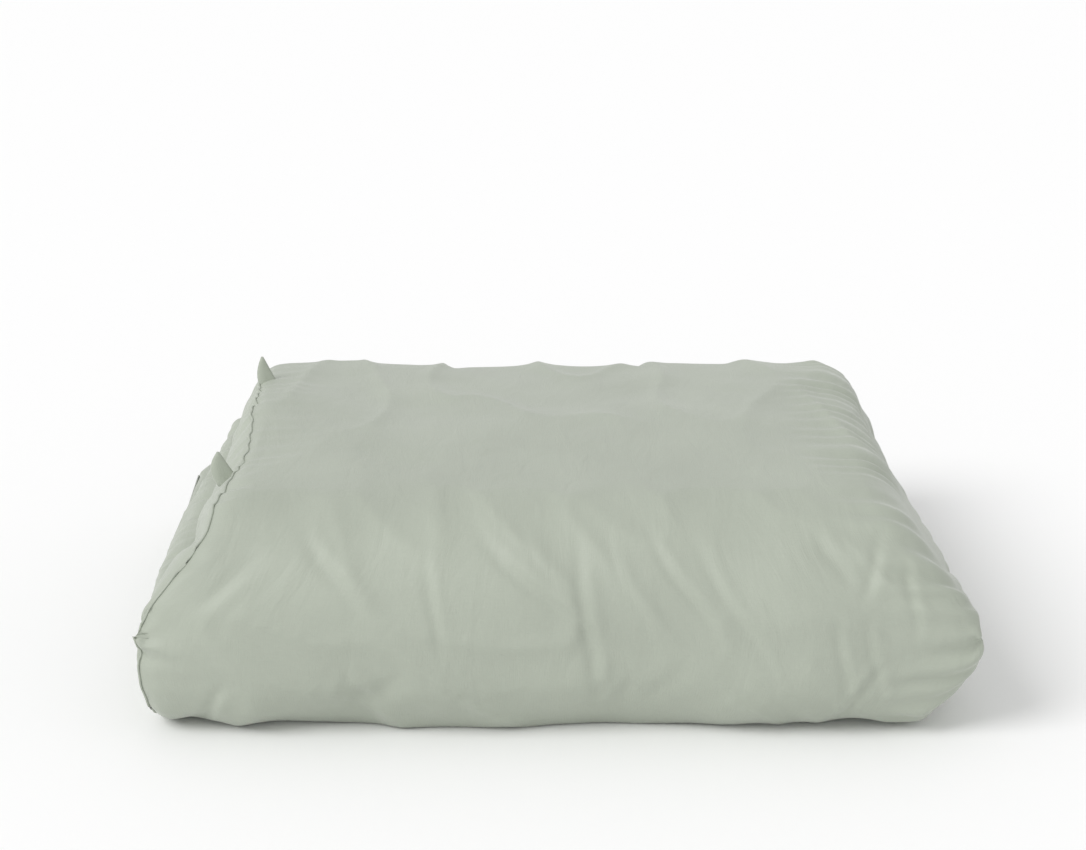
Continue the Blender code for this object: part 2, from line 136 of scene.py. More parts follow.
# Radii of the form's edges, and the groove round each leaf where its two plies meet.
ROUND_LEFT = 0.024
ROUND_RIGHT = 0.034
ROUND_INNER = 0.014
ROUND_BACK = 0.026
ROUND_PLAN = 0.042
PLY_GROOVE = 0.024
PLY_GROOVE_WIDTH = 0.006

# Broad unevenness of the fill, as pairs of size and length, and the long folds of the fabric.
FILL_BUMPS = ((0.0045, 0.16), (0.0020, 0.07))
FOLD_SIZE = 0.0050
FOLD_SPACING = 0.11
FOLD_STRETCH = 2.6
FOLD_LEAN = 0.4
FOLD_SHARPNESS = 6

# The gathers that run in from the ends, and how they wander. They grow between two shares of half the width.
GATHER_LENGTH = 0.030
GATHER_RIGHT = 0.0042
GATHER_LEFT = 0.0012
GATHER_REACH = (0.72, 0.95)
GATHER_WANDER = 5
GATHER_WANDER_SCALE = np.array([3, 14, 14])
GATHER_MEAN = 0.6

# The cover's fabric: a little too large for its form, and blown up by the fill.
CLOTH_FRAMES = 20
CLOTH_QUALITY = 4
CLOTH_MASS = 0.25
CLOTH_STRETCH = 12
CLOTH_SHEAR = 4
CLOTH_BENDING = 1.5
CLOTH_EXCESS = 0.06
CLOTH_PRESSURE = 4.0
CLOTH_CAP = 0.012

# How firmly it keeps to the form, everywhere and in the groove, and how far round the slit's mouth it does.
CLOTH_HOLD = 0.03
GROOVE_HOLD = 0.6
MOUTH_WIDTH = 0.008
MOUTH_REACH = 3 * SLIT_FRONT
HOLD_STEPS = 100

# Creases pressed in the front face: start and end as (x, z), width and depth.
CREASES = (
    ((-0.262, 0.222), (-0.196, 0.140), 0.0075, 0.0023),
    ((-0.132, 0.206), (-0.120, 0.090), 0.0065, 0.0019),
    ((-0.092, 0.226), (0.060, 0.100), 0.0070, 0.0026),
    ((-0.040, 0.222), (0.020, 0.150), 0.0055, 0.0014),
    ((0.020, 0.224), (0.044, 0.012), 0.0075, 0.0028),
    ((0.048, 0.220), (0.100, 0.110), 0.0060, 0.0015),
    ((0.090, 0.224), (0.170, 0.110), 0.0060, 0.0022),
    ((0.138, 0.216), (0.230, 0.066), 0.0065, 0.0018),
    ((0.262, 0.222), (0.302, 0.166), 0.0065, 0.0022),
    ((0.336, 0.220), (0.304, 0.150), 0.0065, 0.0022),
    ((0.284, 0.152), (0.302, 0.020), 0.0060, 0.0019),
    ((0.316, 0.146), (0.334, 0.030), 0.0060, 0.0019),
    ((0.280, 0.008), (0.342, 0.094), 0.0060, 0.0022),
    ((0.356, 0.204), (0.366, 0.108), 0.0060, 0.0020),
    ((-0.336, 0.070), (-0.376, 0.008), 0.0065, 0.0023),
    ((-0.290, 0.202), (-0.380, 0.146), 0.0075, 0.0020),
    ((-0.220, 0.090), (-0.180, 0.016), 0.0070, 0.0014),
)
CREASE_BEND = 0.0025

# A crease deepens and fades between these shares of its length. It shows where the fabric faces forward,
# and fades from CREASE_EDGE behind the front to the back of the nose.
CREASE_START = (-0.05, 0.35)
CREASE_END = (0.6, 1.05)
CREASE_FACING = (0.05, 0.5)
CREASE_EDGE = 0.06

# The soft shoulder beside each crease: its height as a share of the depth, and its place and width as
# shares of the crease's width.
CREASE_SHOULDER = 0.6
CREASE_SHOULDER_ASIDE = 1.6
CREASE_SHOULDER_WIDTH = 1.1

# The recess behind the zip: flat past the tapes, then rising to the cover inside a stiffer collar.
RECESS_FLAT = 0.004
RECESS_RISE = 0.009
RECESS_CLEAR = 0.001
COLLAR_RISE = 0.090

# What lies further out than the first of these is near the left end, and past the second it is in it.
LEFT_END = (0.93 * COVER_X, 0.96 * COVER_X)

# The hem round the zip, and its stitches.
HEM_WIDTH = 0.011
HEM_THICKNESS = 0.0015
TAPE_OVERLAP = 0.002
STITCH_PITCH = 0.0036
STITCH_LENGTH = 0.0024
STITCH_RADIUS = 0.00035
STITCH_SIDES = 4

# The cord of fabric that a seam makes.
SEAM_RADIUS = 0.0013
SEAM_SIDES = 6

# The ribbons that tie the insert's corners to the cover's.
RIBBON_RADIUS = 0.0012
RIBBON_SIDES = 6
LOOP_REACH = 0.007
TIE_START = LOOP_REACH - 3 * RIBBON_RADIUS
TIE_REACH = 0.007
LINK_HALF_WIDTH = 0.0035
LINK_POINTS = 20

# Corners of the cover that stick up on the left edge: base, tip, half width.
EARS = (
    ((-0.349, -0.120, 0.208), (-0.362, -0.118, 0.246), 0.013),
    ((-0.328, 0.190, 0.200), (-0.344, 0.194, 0.250), 0.012),
)
EAR_RINGS = 8
EAR_SIDES = 16
EAR_PLEATS = 3
EAR_FLATNESS = 0.35
EAR_EDGE = 0.0014
EAR_BOW = 0.004

# The studio: a white floor that reaches far behind, white surroundings and one broad light.
FLOOR_SIZE = 80
FLOOR_SHIFT = 20
FLOOR_WHITE = 0.96
FLOOR_ROUGHNESS = 0.9
SURROUNDINGS_STRENGTH = 0.72
LIGHT_STRENGTH = 1.5
LIGHT_SPREAD = 30
TOWARDS_LIGHT = Vector((-0.60, -0.40, 0.65))

# The camera: how far it stands before the block and above the floor, and how far it looks down.
SENSOR_WIDTH = 36
LENS = 92.5
CAMERA_X = -0.014
CAMERA_DISTANCE = 2.6
CAMERA_HEIGHT = 1.28
CAMERA_PITCH = 19.7

# Colours.
COTTON = (0.40, 0.435, 0.365)
TICKING = (0.80, 0.80, 0.77)
FILL = (0.90, 0.90, 0.89)
RIBBON = (0.82, 0.82, 0.79)
LABEL = (0.88, 0.88, 0.86)
ZIP_TAPE = (0.27, 0.30, 0.25)
METAL = ((0.46, 0.46, 0.45), (0.66, 0.66, 0.64))
# The zip coil: its own nylon colour on the turns, and a darker painted shade in the gaps between them.
NYLON_AND_GAP_SHADE = ((0.13, 0.15, 0.12), (0.34, 0.37, 0.31))

# Woven fabric: each way of thread as a stretch of the noise, and how the tone and the rumples vary.
THREAD_WAYS = ((1.0, 0.06, 0.5), (0.06, 1.0, 0.5))
THREAD_SHARE = 0.25
TONE = 0.06
TONE_START = 0.45
RUMPLE_DEPTH = 0.0035
SHEEN = 0.3
SHEEN_ROUGHNESS = 0.4

# Keeps a division from meeting zero.
SMALLEST = 1e-9


def smooth(value, low, high):
    """Zero at low and one at high, easing between them. Low may be the greater of the two."""
    step = np.clip((value - low) / (high - low), 0, 1)
    return step * step * (3 - 2 * step)


def bell(value, width):
    """One at zero, falling to nothing a few widths either side."""
    return np.exp(-((value / width) ** 2))


def rounded(first, second, first_half, second_half, radius):
    """Turns the corner of a rectangle into a quarter circle, for the points in it."""
    over_first = np.abs(first) - (first_half - radius)
    over_second = np.abs(second) - (second_half - radius)
    both = (over_first > 0) & (over_second > 0)
    largest = np.maximum(over_first, over_second)
    length = np.hypot(over_first, over_second)
    share = np.where(both, largest / np.maximum(length, SMALLEST), 1.0)
    new_first = np.where(both, np.sign(first) * (first_half - radius + over_first * share), first)
    new_second = np.where(both, np.sign(second) * (second_half - radius + over_second * share), second)
    return new_first, new_second


def along_path(points, shares):
    """Points of a polyline at shares of its length."""
    lengths = np.concatenate([[0], np.cumsum(np.linalg.norm(np.diff(points, axis=0), axis=1))])
    lengths /= lengths[-1]
    return np.stack([np.interp(shares, lengths, points[:, axis]) for axis in range(2)], axis=1)


def outer_path():
    """The outside of the fold in Y and Z: back, bottom, nose, top, back."""
    angles = np.linspace(-math.pi / 2, math.pi / 2, NOSE_POINTS)
    power = np.where(angles < 0, 2 / NOSE_FULLNESS_LOW, 2 / NOSE_FULLNESS_HIGH)
    front = FRONT_Y + SWELL
    nose_y = front + NOSE_DEPTH - NOSE_DEPTH * np.cos(angles) ** power
    reach = np.where(angles < 0, FOLD_Z, CREST_Z - FOLD_Z)
    nose_z = FOLD_Z + reach * np.sign(angles) * np.abs(np.sin(angles)) ** power
    nose = np.stack([nose_y, nose_z], axis=1)
    shares = np.linspace(0, 1, TOP_POINTS)[1:]
    top_y = front + NOSE_DEPTH + (BACK_Y - front - NOSE_DEPTH) * shares
    top_z = CREST_Z - (CREST_Z - BACK_TOP_Z) * shares ** 2
    return np.concatenate([[[BACK_Y, 0.0]], nose, np.stack([top_y, top_z], axis=1)])


def slit_height(y):
    """The slit sinks a little towards the back, which leaves the upper leaf's fabric room to fold."""
    return FOLD_Z - SLIT_TILT * (y - FRONT_Y)


def inner_path():
    """The slit between the leaves in Y and Z: back, front end, back."""
    angles = np.linspace(-math.pi / 2, math.pi / 2, SLIT_POINTS)
    end_y = FRONT_Y + SLIT_FRONT + SLIT_HALF - SLIT_HALF * np.cos(angles)
    end_z = slit_height(end_y) + SLIT_HALF * np.sin(angles)
    end = np.stack([end_y, end_z], axis=1)
    back_z = slit_height(BACK_Y)
    return np.concatenate([[[BACK_Y, back_z - SLIT_HALF]], end, [[BACK_Y, back_z + SLIT_HALF]]])


def half_round():
    """Half the way round the outside of the fold."""
    return np.linalg.norm(np.diff(outer_path(), axis=0), axis=1).sum() / 2


def lattice_shell():
    """The skin of a lattice of quads: (whole-number places, faces, the axis each face lies across)."""
    size = np.array([QUADS_ACROSS, QUADS_ROUND, QUADS_THROUGH])
    grid = np.indices(size + 1).reshape(3, -1).T
    on_skin = ((grid == 0) | (grid == size)).any(axis=1)
    number = np.full(tuple(size + 1), -1)
    places = grid[on_skin]
    number[tuple(places.T)] = np.arange(len(places))
    faces = []
    axes = []
    for axis in range(3):
        for at_end in (0, size[axis]):
            side = np.take(number, at_end, axis=axis)
            quads = np.stack([side[:-1, :-1], side[1:, :-1], side[1:, 1:], side[:-1, 1:]], axis=-1)
            quads = quads.reshape(-1, 4)
            outward = (at_end > 0) == (axis != 1)
            faces.append(quads if outward else quads[:, ::-1])
            axes.append(np.full(len(quads), axis))
    return places, np.concatenate(faces), np.concatenate(axes)


def in_metres(places):
    """Lattice places as metres across, round the fold and through the leaf, from the middle."""
    across = (2 * places[:, 0] / QUADS_ACROSS - 1) * HALF_WIDTH
    around = (2 * places[:, 1] / QUADS_ROUND - 1) * half_round()
    through = (2 * places[:, 2] / QUADS_THROUGH - 1) * LEAF / 2
    return across, around, through


def end_width(height, depth_share, at_right):
    """How far an end reaches at a height, as a share of half the width."""
    foot = np.where(at_right, FOOT_RIGHT, FOOT_LEFT) * (1 - smooth(height, *FOOT_HEIGHTS))
    shoulder = SHOULDER * smooth(height, *SHOULDER_HEIGHTS)
    spread = smooth(height, *TAPER_START_HEIGHTS) * (1 - TAPER_LOSS * smooth(height, *TAPER_END_HEIGHTS))
    taper = np.where(at_right, TAPER_RIGHT, TAPER_LEFT) * depth_share * spread
    return 1 - foot - shoulder - taper


def zip_nearness(x, y, z, rise):
    """One where the zip lies in the left end, falling to nothing over a rise beyond it."""
    half_height = (TAPE_HIGH[2] - TAPE_LOW[2]) / 2
    beyond_z = np.abs(z - (TAPE_HIGH[2] + TAPE_LOW[2]) / 2) - half_height
    beyond_y = np.abs(y - (TAPE_HIGH[1] + TAPE_LOW[1]) / 2) - (TAPE_HIGH[1] - TAPE_LOW[1]) / 2
    beyond = np.hypot(np.maximum(beyond_z, 0), np.maximum(beyond_y, 0))
    return (1 - smooth(beyond, RECESS_FLAT, RECESS_FLAT + rise)) * smooth(x, *LEFT_END)


def fabric_folds(spots):
    """Narrow folds that wander over the fabric, as a height from zero to one."""
    stretched = spots * [1, 1 / FOLD_STRETCH, 1] + spots[:, [2, 0, 1]] * [1, FOLD_LEAN, 0]
    waves = [noise.noise(Vector(spot) / FOLD_SPACING) for spot in stretched]
    return (1 - np.abs(waves)) ** FOLD_SHARPNESS


def padded_places(places):
    """The smooth form of the folded duvet: its points, how near each is to the zip, and its hold."""
    across, around, through = in_metres(places)
    outer, inner = outer_path(), inner_path()
    half = half_round()
    radius = np.where(through > 0, np.where(across > 0, ROUND_RIGHT, ROUND_LEFT), ROUND_INNER)
    across, through = rounded(across, through, HALF_WIDTH, LEAF / 2, radius)
    around, through = rounded(around, through, half, LEAF / 2, ROUND_BACK)
    across, around = rounded(across, around, HALF_WIDTH, half, ROUND_PLAN)

    at_left = places[:, 0] == 0
    at_back = (places[:, 1] == 0) | (places[:, 1] == QUADS_ROUND)
    seam = np.where(around < 0, FOLD_Z - SEAM_HEIGHTS[0], SEAM_HEIGHTS[1] - FOLD_Z) - LEAF / 2
    groove = bell(through - seam, PLY_GROOVE_WIDTH) * (at_left | at_back)
    across = np.where(at_left, across + PLY_GROOVE * groove, across)
    around = np.where(at_back, around - np.sign(around) * PLY_GROOVE * groove, around)

    shares = (around / half + 1) / 2
    part = (through / LEAF + 0.5)[:, None]
    depth, height = (along_path(inner, shares) * (1 - part) + along_path(outer, shares) * part).T
    depth_share = (depth - FRONT_Y) / (BACK_Y - FRONT_Y)
    rumple = fabric_folds(np.stack([across, depth, np.zeros(len(depth))], axis=1))
    sag_low = -SLIT_SAG_LOW * smooth(depth, FRONT_Y + SLIT_SAG_START, FRONT_Y + NOSE_DEPTH)
    sag = np.where(around < 0, sag_low, SLIT_SAG_HIGH * (depth - FRONT_Y))
    height += sag * rumple * (1 - part[:, 0])
    x = across * end_width(height, depth_share, across > 0)
    collar = zip_nearness(x, depth, height, COLLAR_RISE)
    recess = zip_nearness(x, depth, height, RECESS_RISE)
    x = x * (1 - collar) + COVER_X * collar
    x = x * (1 - recess) + (SLIDER_BACK_X + RECESS_CLEAR) * recess

    into_slit = smooth(depth, FRONT_Y + SLIT_FRONT, FRONT_Y + MOUTH_REACH)
    mouth = bell(height - slit_height(depth), MOUTH_WIDTH) * into_slit
    hold = np.clip(CLOTH_HOLD + (places[:, 2] == 0) + collar + mouth + GROOVE_HOLD * groove, 0, 1)
    return np.stack([x, depth, height], axis=1), collar, hold


def vertex_array(mesh, name, source=None):
    """A property of the mesh's vertices, or of another source as long, as rows of three."""
    values = np.empty(len(mesh.vertices) * 3)
    (source or mesh.vertices).foreach_get(name, values)
    return values.reshape(-1, 3)


def normals_of(mesh):
    return vertex_array(mesh, "vector", mesh.vertex_normals)


def place_vertices(mesh, spots):
    mesh.vertices.foreach_set("co", spots.ravel())
    mesh.update()


def move_along_normals(mesh, distance):
    place_vertices(mesh, vertex_array(mesh, "co") + normals_of(mesh) * distance[:, None])


def keep_in_box(mesh):
    """Keeps the cover on the surface it lies on, and inside the block's height."""
    spots = vertex_array(mesh, "co")
    spots[:, 2] = np.clip(spots[:, 2], 0, HEIGHT)
    place_vertices(mesh, spots)


def uneven_fill(mesh, places):
    """Broad bumps of the fill, and gathers that fade inwards from the ends."""
    across, around, through = in_metres(places)
    spots = vertex_array(mesh, "co")
    height = np.zeros(len(spots))
    for size, length in FILL_BUMPS:
        height += size * np.array([noise.noise(Vector(spot) / length) for spot in spots])
    height += FOLD_SIZE * fabric_folds(spots)
    wander = np.array([noise.noise(Vector(spot)) for spot in spots * GATHER_WANDER_SCALE])
    waves = np.sin(2 * math.pi * around / GATHER_LENGTH + GATHER_WANDER * wander) * (GATHER_MEAN + wander)
    size = np.where(across > 0, GATHER_RIGHT, GATHER_LEFT)
    height += size * waves * smooth(np.abs(across) / HALF_WIDTH, *GATHER_REACH)
    outside = smooth(through, 0, LEAF / 2)
    return height * outside


def wrinkle(cover, hold):
    """Blows the cover up as slightly oversize cloth, held softly to the padded form."""
    mesh = cover.data
    start = vertex_array(mesh, "co")
    group = cover.vertex_groups.new(name="hold")
    steps = np.round(hold * HOLD_STEPS)
    for step in np.unique(steps[steps > 0]):
        group.add(np.nonzero(steps == step)[0].tolist(), step / HOLD_STEPS, "REPLACE")
    cloth = cover.modifiers.new("cloth", "CLOTH")
    settings = cloth.settings
    settings.quality = CLOTH_QUALITY
    settings.mass = CLOTH_MASS
    settings.tension_stiffness = CLOTH_STRETCH
    settings.compression_stiffness = CLOTH_STRETCH
    settings.shear_stiffness = CLOTH_SHEAR
    settings.bending_stiffness = CLOTH_BENDING
    settings.use_pressure = True
    settings.uniform_pressure_force = CLOTH_PRESSURE
    settings.shrink_min = -CLOTH_EXCESS
    settings.vertex_group_mass = "hold"
    settings.effector_weights.gravity = 0
    cloth.collision_settings.use_collision = False
    cloth.point_cache.frame_start = 1
    cloth.point_cache.frame_end = CLOTH_FRAMES
    scene = bpy.context.scene
    for step in range(1, CLOTH_FRAMES + 1):
        scene.frame_set(step)
    evaluated = cover.evaluated_get(bpy.context.evaluated_depsgraph_get())
    moved = vertex_array(evaluated.data, "co") - start
    length = np.linalg.norm(moved, axis=1, keepdims=True)
    moved *= np.minimum(1, CLOTH_CAP / np.maximum(length, SMALLEST))
    cover.modifiers.remove(cloth)
    scene.frame_set(1)
    cover.vertex_groups.remove(group)
    place_vertices(mesh, start + moved)


def subdivide(cover):
    """Replaces the cover's mesh with one of quads half the size."""
    smoother = cover.modifiers.new("smoother", "SUBSURF")
    smoother.levels = 1
    evaluated = cover.evaluated_get(bpy.context.evaluated_depsgraph_get())
    mesh = bpy.data.meshes.new_from_object(evaluated)
    cover.modifiers.remove(smoother)
    cover.data = mesh


def press_creases(mesh):
    """Presses fine creases in the front face, each with a soft shoulder on one side."""
    spots = vertex_array(mesh, "co")
    near_front = smooth(-spots[:, 1], -FRONT_Y - NOSE_DEPTH, -FRONT_Y - CREASE_EDGE)
    facing = smooth(-normals_of(mesh)[:, 1], *CREASE_FACING) * near_front
    flat = spots[:, [0, 2]]
    height = np.zeros(len(spots))
    for start, end, width, depth in CREASES:
        along = np.subtract(end, start)
        length = np.hypot(*along)
        along /= length
        offset = flat - np.array(start)
        share = offset @ along / length
        bend = CREASE_BEND * np.sin(2 * math.pi * share)
        aside = (offset @ np.array([-along[1], along[0]]) + bend) / width
        taper = smooth(share, *CREASE_START) * (1 - smooth(share, *CREASE_END))
        shoulder = CREASE_SHOULDER * bell(aside - CREASE_SHOULDER_ASIDE, CREASE_SHOULDER_WIDTH)
        height += depth * taper * (shoulder - bell(aside, 1))
    move_along_normals(mesh, height * facing)


def seam_path(mesh, places):
    """Where the cover's seam runs: round the left end's outer edge, from back to back."""
    proud = vertex_array(mesh, "co") + normals_of(mesh) * SEAM_RADIUS / 2
    path = proud[(places[:, 0] == 0) & (places[:, 2] == QUADS_THROUGH)]
    path[:, 2] = np.clip(path[:, 2], SEAM_RADIUS, HEIGHT - SEAM_RADIUS)
    return path


def loft(form, rings, looped=False):
    """A closed skin of quads through rings of points. Looped joins its last ring to its first."""
    layer = form.loops.layers.uv[0]
    rows = [[form.verts.new(point) for point in ring] for ring in rings]
    following = rows[1:] + rows[:1] if looped else rows[1:]
    faces = []
    for row, after in zip(rows, following):
        for index, vertex in enumerate(row):
            beside = (index + 1) % len(row)
            faces.append(form.faces.new((vertex, row[beside], after[beside], after[index])))
    if not looped:
        faces.append(form.faces.new(rows[0][::-1]))
        faces.append(form.faces.new(rows[-1]))
    for face in faces:
        face.smooth = True
        for corner in face.loops:
            corner[layer].uv = (corner.vert.co.x + corner.vert.co.y, corner.vert.co.z)


def ring_round(centre, along, radius, sides):
    """A ring of points round a direction."""
    along = Vector(along).normalized()
    first = along.orthogonal().normalized()
    second = along.cross(first)
    turns = [2 * math.pi * side / sides for side in range(sides)]
    return [Vector(centre) + radius * (first * math.cos(turn) + second * math.sin(turn)) for turn in turns]


def add_cord(form, path, radius, sides):
    """A round cord along a path of points."""
    ahead = np.gradient(path, axis=0)
    loft(form, [ring_round(spot, along, radius, sides) for spot, along in zip(path, ahead)])


def add_hem(form):
    """The hem that frames the zip, with a row of stitches round it."""
    outer_x = COVER_X
    inner_x = COVER_X + HEM_THICKNESS
    low = (TAPE_LOW[1], TAPE_LOW[2] + TAPE_OVERLAP)
    high = (TAPE_HIGH[1], TAPE_HIGH[2] - TAPE_OVERLAP)

    def frame_corners(beyond):
        return [(low[0] - beyond, low[1] - beyond), (high[0] + beyond, low[1] - beyond),
                (high[0] + beyond, high[1] + beyond), (low[0] - beyond, high[1] + beyond)]

    rings = []
    for inner, outer in zip(frame_corners(0), frame_corners(HEM_WIDTH)):
        rings.append([(inner_x, *inner), (outer_x, *inner), (outer_x, *outer), (inner_x, *outer)])
    loft(form, rings, looped=True)
    corners = frame_corners(HEM_WIDTH / 2)
    for start, end in zip(corners, corners[1:] + corners[:1]):
        add_stitches(form, Vector((outer_x, *start)), Vector((outer_x, *end)))


def add_stitches(form, start, end):
    """A row of short round stitches from one point towards another."""
    along = end - start
    count = int(along.length / STITCH_PITCH)
    along.normalize()
    for stitch in range(count):
        first = start + along * STITCH_PITCH * stitch
        last = first + along * STITCH_LENGTH
        loft(form, [ring_round(spot, along, STITCH_RADIUS, STITCH_SIDES) for spot in (first, last)])


def add_ear(form, base, tip, half_width):
    """A soft corner of the cover that stands up from an edge: a flat cone of two layers."""
    base, tip = Vector(base), Vector(tip)
    rings = []
    for step in range(EAR_RINGS + 1):
        share = step / EAR_RINGS
        centre = base.lerp(tip, share) - Vector((EAR_BOW * math.sin(math.pi * share), 0, 0))
        wide = half_width * (1 - share ** 2) + EAR_EDGE
        thick = EAR_FLATNESS * half_width * (1 - share) + EAR_EDGE
        ring = []
        for side in range(EAR_SIDES):
            angle = 2 * math.pi * side / EAR_SIDES
            pleat = 1 + EAR_FLATNESS * math.cos(EAR_PLEATS * angle) * (1 - share)
            ring.append(centre + Vector((wide * math.cos(angle), thick * pleat * math.sin(angle), 0)))
        rings.append(ring)
    loft(form, rings)


def sew_on(mesh, seam):
    """Adds the seam, the zip's hem and the loose corners to the cover."""
    form = bmesh.new()
    form.from_mesh(mesh)
    add_cord(form, seam, SEAM_RADIUS, SEAM_SIDES)
    add_hem(form)
    for base, tip, half_width in EARS:
        add_ear(form, base, tip, half_width)
    form.to_mesh(mesh)
    form.free()


def lay_fabric(mesh, places, faces, axes):
    """Maps the fabric in metres: each face by the two directions that it doesn't lie across."""
    across, around, through = in_metres(places)
    pairs = ((through, around), (across, through), (across, around))
    corners = np.empty((len(mesh.loops), 2))
    for axis, (first, second) in enumerate(pairs):
        chosen = np.repeat(axes == axis, 4)
        vertices = faces[axes == axis].ravel()
        corners[chosen] = np.stack([first[vertices], second[vertices]], axis=1)
    mesh.uv_layers.new(name="cloth").data.foreach_set("uv", corners.ravel())


def cover_mesh():
    """The cover: the padded form, blown up and creased, with what is sewn on it."""
    places, faces, axes = lattice_shell()
    spots, collar, hold = padded_places(places)
    mesh = bpy.data.meshes.new("duvet_cover")
    mesh.from_pydata(spots.tolist(), [], faces.tolist())
    mesh.update()
    lay_fabric(mesh, places, faces, axes)
    cover = bpy.data.objects.new("duvet_cover", mesh)
    bpy.context.scene.collection.objects.link(cover)
    move_along_normals(mesh, uneven_fill(mesh, places) * (1 - collar))
    wrinkle(cover, hold)
    keep_in_box(mesh)
    seam = seam_path(mesh, places)
    subdivide(cover)
    press_creases(cover.data)
    keep_in_box(cover.data)
    sew_on(cover.data, seam)
    return cover


def link_path(near, outward, reach, across):
    """Points of a closed link that starts at a point and reaches outward, as wide each way as across."""
    angles = [2 * math.pi * side / LINK_POINTS for side in range(LINK_POINTS)]
    turns = [(0.5 - 0.5 * math.cos(angle), math.sin(angle)) for angle in angles]
    return [near + outward * reach * far + across * aside for far, aside in turns]


def add_corner_ribbons():
    """Each corner loop and its tie, as ribbons that end inside the padded corner of the cover."""
    outward = Vector((-1, 1, 0)).normalized()
    for loop in [item for item in bpy.data.objects if item.name.endswith("corner_loop")]:
        low, high = (Vector(corner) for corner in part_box(loop.name))
        cad_radius = (high.x - low.x) / 2 - RIBBON_RADIUS
        near = (low + high) / 2 - outward * cad_radius
        tie_near = near + outward * TIE_START
        paths = (link_path(near, outward, LOOP_REACH, Vector((1, 1, 0)) * LINK_HALF_WIDTH),
                 link_path(tie_near, outward, TIE_REACH, Vector((0, 0, LINK_HALF_WIDTH))))
        form = bmesh.new()
        form.loops.layers.uv.new("cloth")
        for path in paths:
            ahead = np.subtract(np.roll(path, -1, axis=0), np.roll(path, 1, axis=0))
            rings = [ring_round(spot, along, RIBBON_RADIUS, RIBBON_SIDES) for spot, along in zip(path, ahead)]
            loft(form, rings, looped=True)
        mesh = bpy.data.meshes.new("ribbon")
        form.to_mesh(mesh)
        form.free()
        ribbon = bpy.data.objects.new("ribbon_" + loop.name, mesh)
        bpy.context.scene.collection.objects.link(ribbon)
        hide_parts(loop.name, loop.name.replace("loop", "tie"))
        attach(ribbon, "lower_leaf" if near.z < FOLD_Z else "upper_leaf")


def add_floor():
    """A plain white floor, which isn't part of the model."""
    bpy.ops.mesh.primitive_plane_add(size=FLOOR_SIZE, location=(0, FLOOR_SHIFT, 0))
    floor = bpy.context.object
    floor.name = "floor"
    material = bpy.data.materials.new("floor")
    material.use_nodes = True
    shader = material.node_tree.nodes["Principled BSDF"]
    shader.inputs["Base Color"].default_value = (FLOOR_WHITE, FLOOR_WHITE, FLOOR_WHITE, 1)
    shader.inputs["Roughness"].default_value = FLOOR_ROUGHNESS
    floor.data.materials.append(material)


def add_studio():
    """White surroundings, and one broad soft light from the front left."""
    world = bpy.data.worlds.new("studio")
    world.use_nodes = True
    background = world.node_tree.nodes["Background"]
    background.inputs["Color"].default_value = (1, 1, 1, 1)
    background.inputs["Strength"].default_value = SURROUNDINGS_STRENGTH
    bpy.context.scene.world = world
    bpy.context.scene.view_settings.view_transform = "Standard"
    lamp = bpy.data.lights.new("key", "SUN")
    lamp.energy = LIGHT_STRENGTH
    lamp.angle = math.radians(LIGHT_SPREAD)
    light = bpy.data.objects.new("key", lamp)
    light.rotation_euler = TOWARDS_LIGHT.to_track_quat("Z", "Y").to_euler()
    bpy.context.scene.collection.objects.link(light)


def add_camera():
    """A camera that looks down on the block from the front."""
    data = bpy.data.cameras.new("camera")
    data.sensor_width = SENSOR_WIDTH
    data.lens = LENS
    camera = bpy.data.objects.new("camera", data)
    camera.location = (CAMERA_X, FRONT_Y - CAMERA_DISTANCE, CAMERA_HEIGHT)
    camera.rotation_euler = (math.radians(90 - CAMERA_PITCH), 0, 0)
    bpy.context.scene.collection.objects.link(camera)
    bpy.context.scene.camera = camera


def new_material(name, roughness):
    """A material, its shader, a function that links sockets, and one that adds a node with its links."""
    material = bpy.data.materials.new(name)
    material.use_nodes = True
    tree = material.node_tree
    shader = tree.nodes["Principled BSDF"]
    shader.inputs["Roughness"].default_value = roughness

    def node(kind, settings=(), **links):
        made = tree.nodes.new(kind)
        for key, value in dict(settings).items():
            if hasattr(made, key):
                setattr(made, key, value)
            else:
                made.inputs[key].default_value = value
        for key, source in links.items():
            tree.links.new(source, made.inputs[key])
        return made

    return material, shader, tree.links.new, node


def two_tones(node, dark, light, share, start=0.0):
    """A colour that runs from dark to light as the share runs from start to one."""
    ramp = node("ShaderNodeValToRGB", Fac=share)
    first, last = ramp.color_ramp.elements
    first.position = start
    first.color = (*dark, 1)
    last.color = (*light, 1)
    return ramp.outputs["Color"]


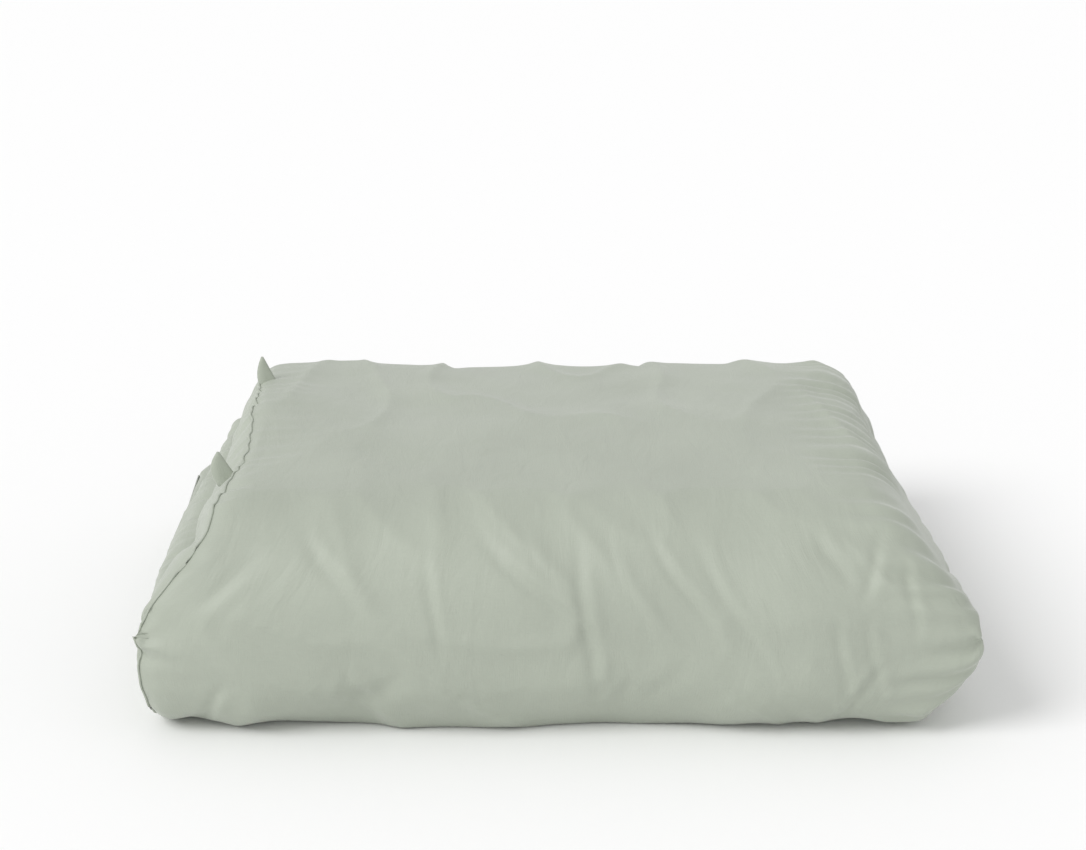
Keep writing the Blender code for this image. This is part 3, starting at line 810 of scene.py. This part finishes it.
def cloth(name, colour, thread, roughness=0.6, mapped=False, relief=0.25, rumple=0.0):
    """Woven fabric: uneven tone, thick and thin threads both ways, fine rumples and a soft sheen."""
    material, shader, link, node = new_material(name, roughness)
    place = node("ShaderNodeTexCoord").outputs["UV" if mapped else "Object"]
    weave = node("ShaderNodeMath", {"operation": "ADD"})
    for stretch, term in zip(THREAD_WAYS, weave.inputs):
        turned = node("ShaderNodeMapping", {"Scale": stretch}, Vector=place).outputs["Vector"]
        threads = node("ShaderNodeTexNoise", {"Scale": 1 / thread, "Detail": 2.0}, Vector=turned)
        link(threads.outputs["Fac"], term)
    cloudy = node("ShaderNodeTexNoise", {"Scale": 7.0, "Detail": 4.0}, Vector=place)
    mixed = node("ShaderNodeMath", {"operation": "MULTIPLY_ADD"})
    link(weave.outputs[0], mixed.inputs[0])
    mixed.inputs[1].default_value = THREAD_SHARE
    link(cloudy.outputs["Fac"], mixed.inputs[2])
    dark = [part * (1 - TONE) for part in colour]
    light = [part * (1 + TONE) for part in colour]
    link(two_tones(node, dark, light, mixed.outputs[0], TONE_START), shader.inputs["Base Color"])
    slant = node("ShaderNodeMapping", {"Scale": (1.0, 0.45, 1.0), "Rotation": (0, 0, 0.5)}, Vector=place)
    rumples = node("ShaderNodeTexNoise", {"Scale": 26.0, "Detail": 5.0, "Distortion": 1.1},
                   Vector=slant.outputs["Vector"])
    soft = node("ShaderNodeBump", {"Strength": rumple, "Distance": RUMPLE_DEPTH},
                Height=rumples.outputs["Fac"])
    bump = node("ShaderNodeBump", {"Strength": relief, "Distance": thread}, Height=weave.outputs[0],
                Normal=soft.outputs["Normal"])
    link(bump.outputs["Normal"], shader.inputs["Normal"])
    shader.inputs["Sheen Weight"].default_value = SHEEN
    shader.inputs["Sheen Roughness"].default_value = SHEEN_ROUGHNESS
    return material


def metal(name):
    """Die-cast metal: fine grain in its colour, roughness and surface."""
    material, shader, link, node = new_material(name, roughness=0.3)
    place = node("ShaderNodeTexCoord").outputs["Object"]
    grain = node("ShaderNodeTexNoise", {"Scale": 900.0, "Detail": 3.0}, Vector=place).outputs["Fac"]
    rough = node("ShaderNodeMapRange", {"To Min": 0.24, "To Max": 0.42}, Value=grain)
    bump = node("ShaderNodeBump", {"Strength": 0.2, "Distance": 0.0002}, Height=grain)
    link(two_tones(node, *METAL, grain), shader.inputs["Base Color"])
    link(rough.outputs["Result"], shader.inputs["Roughness"])
    link(bump.outputs["Normal"], shader.inputs["Normal"])
    shader.inputs["Metallic"].default_value = 1.0
    return material


def coil_nylon(name):
    """The zip's nylon coil: turns a little over a millimetre apart along its length, with shade painted
    darker in the gaps between them.
    """
    material, shader, link, node = new_material(name, roughness=0.4)
    place = node("ShaderNodeTexCoord").outputs["Object"]
    wave = {"bands_direction": "Y", "Scale": 260.0, "Distortion": 0.4}
    turns = node("ShaderNodeTexWave", wave, Vector=place).outputs["Fac"]
    bump = node("ShaderNodeBump", {"Strength": 0.8, "Distance": 0.0006}, Height=turns)
    # Painted shade: the coil's colour darkens where the bump sinks between the turns.
    link(two_tones(node, *NYLON_AND_GAP_SHADE, turns), shader.inputs["Base Color"])
    link(bump.outputs["Normal"], shader.inputs["Normal"])
    return material


def dress_carried_nodes():
    """Gives the ribbons, and each CAD piece that is seen or lies in the cover, the look of its slot."""
    looks = {
        "ticking": cloth("ticking", TICKING, thread=0.0009),
        "fill": cloth("fill", FILL, thread=0.0060, relief=0.8),
        "_corner_": cloth("ribbon", RIBBON, thread=0.0006),
        "label": cloth("label", LABEL, thread=0.0004),
        "tape": cloth("zip_tape", ZIP_TAPE, thread=0.0007, relief=0.6),
        "coil": coil_nylon("zip_coil"),
        "stop": metal("zip_stop"),
        "slider": metal("zip_slider"),
        "pull": metal("zip_pull"),
    }
    for item in bpy.data.objects:
        if item.type != "MESH":
            continue
        for word, material in looks.items():
            if word in item.name:
                item.data.materials.clear()
                item.data.materials.append(material)


add_floor()
add_studio()
add_camera()
cover = cover_mesh()
add_corner_ribbons()
dress_carried_nodes()
cover.data.materials.clear()
cotton = cloth("cotton", COTTON, thread=0.0010, roughness=0.55, mapped=True, rumple=0.5)
cover.data.materials.append(cotton)
cover.data.shade_smooth()
for leaf in ("lower", "upper"):
    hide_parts(leaf + "_cover_face", leaf + "_cover_reverse")
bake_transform(cover)
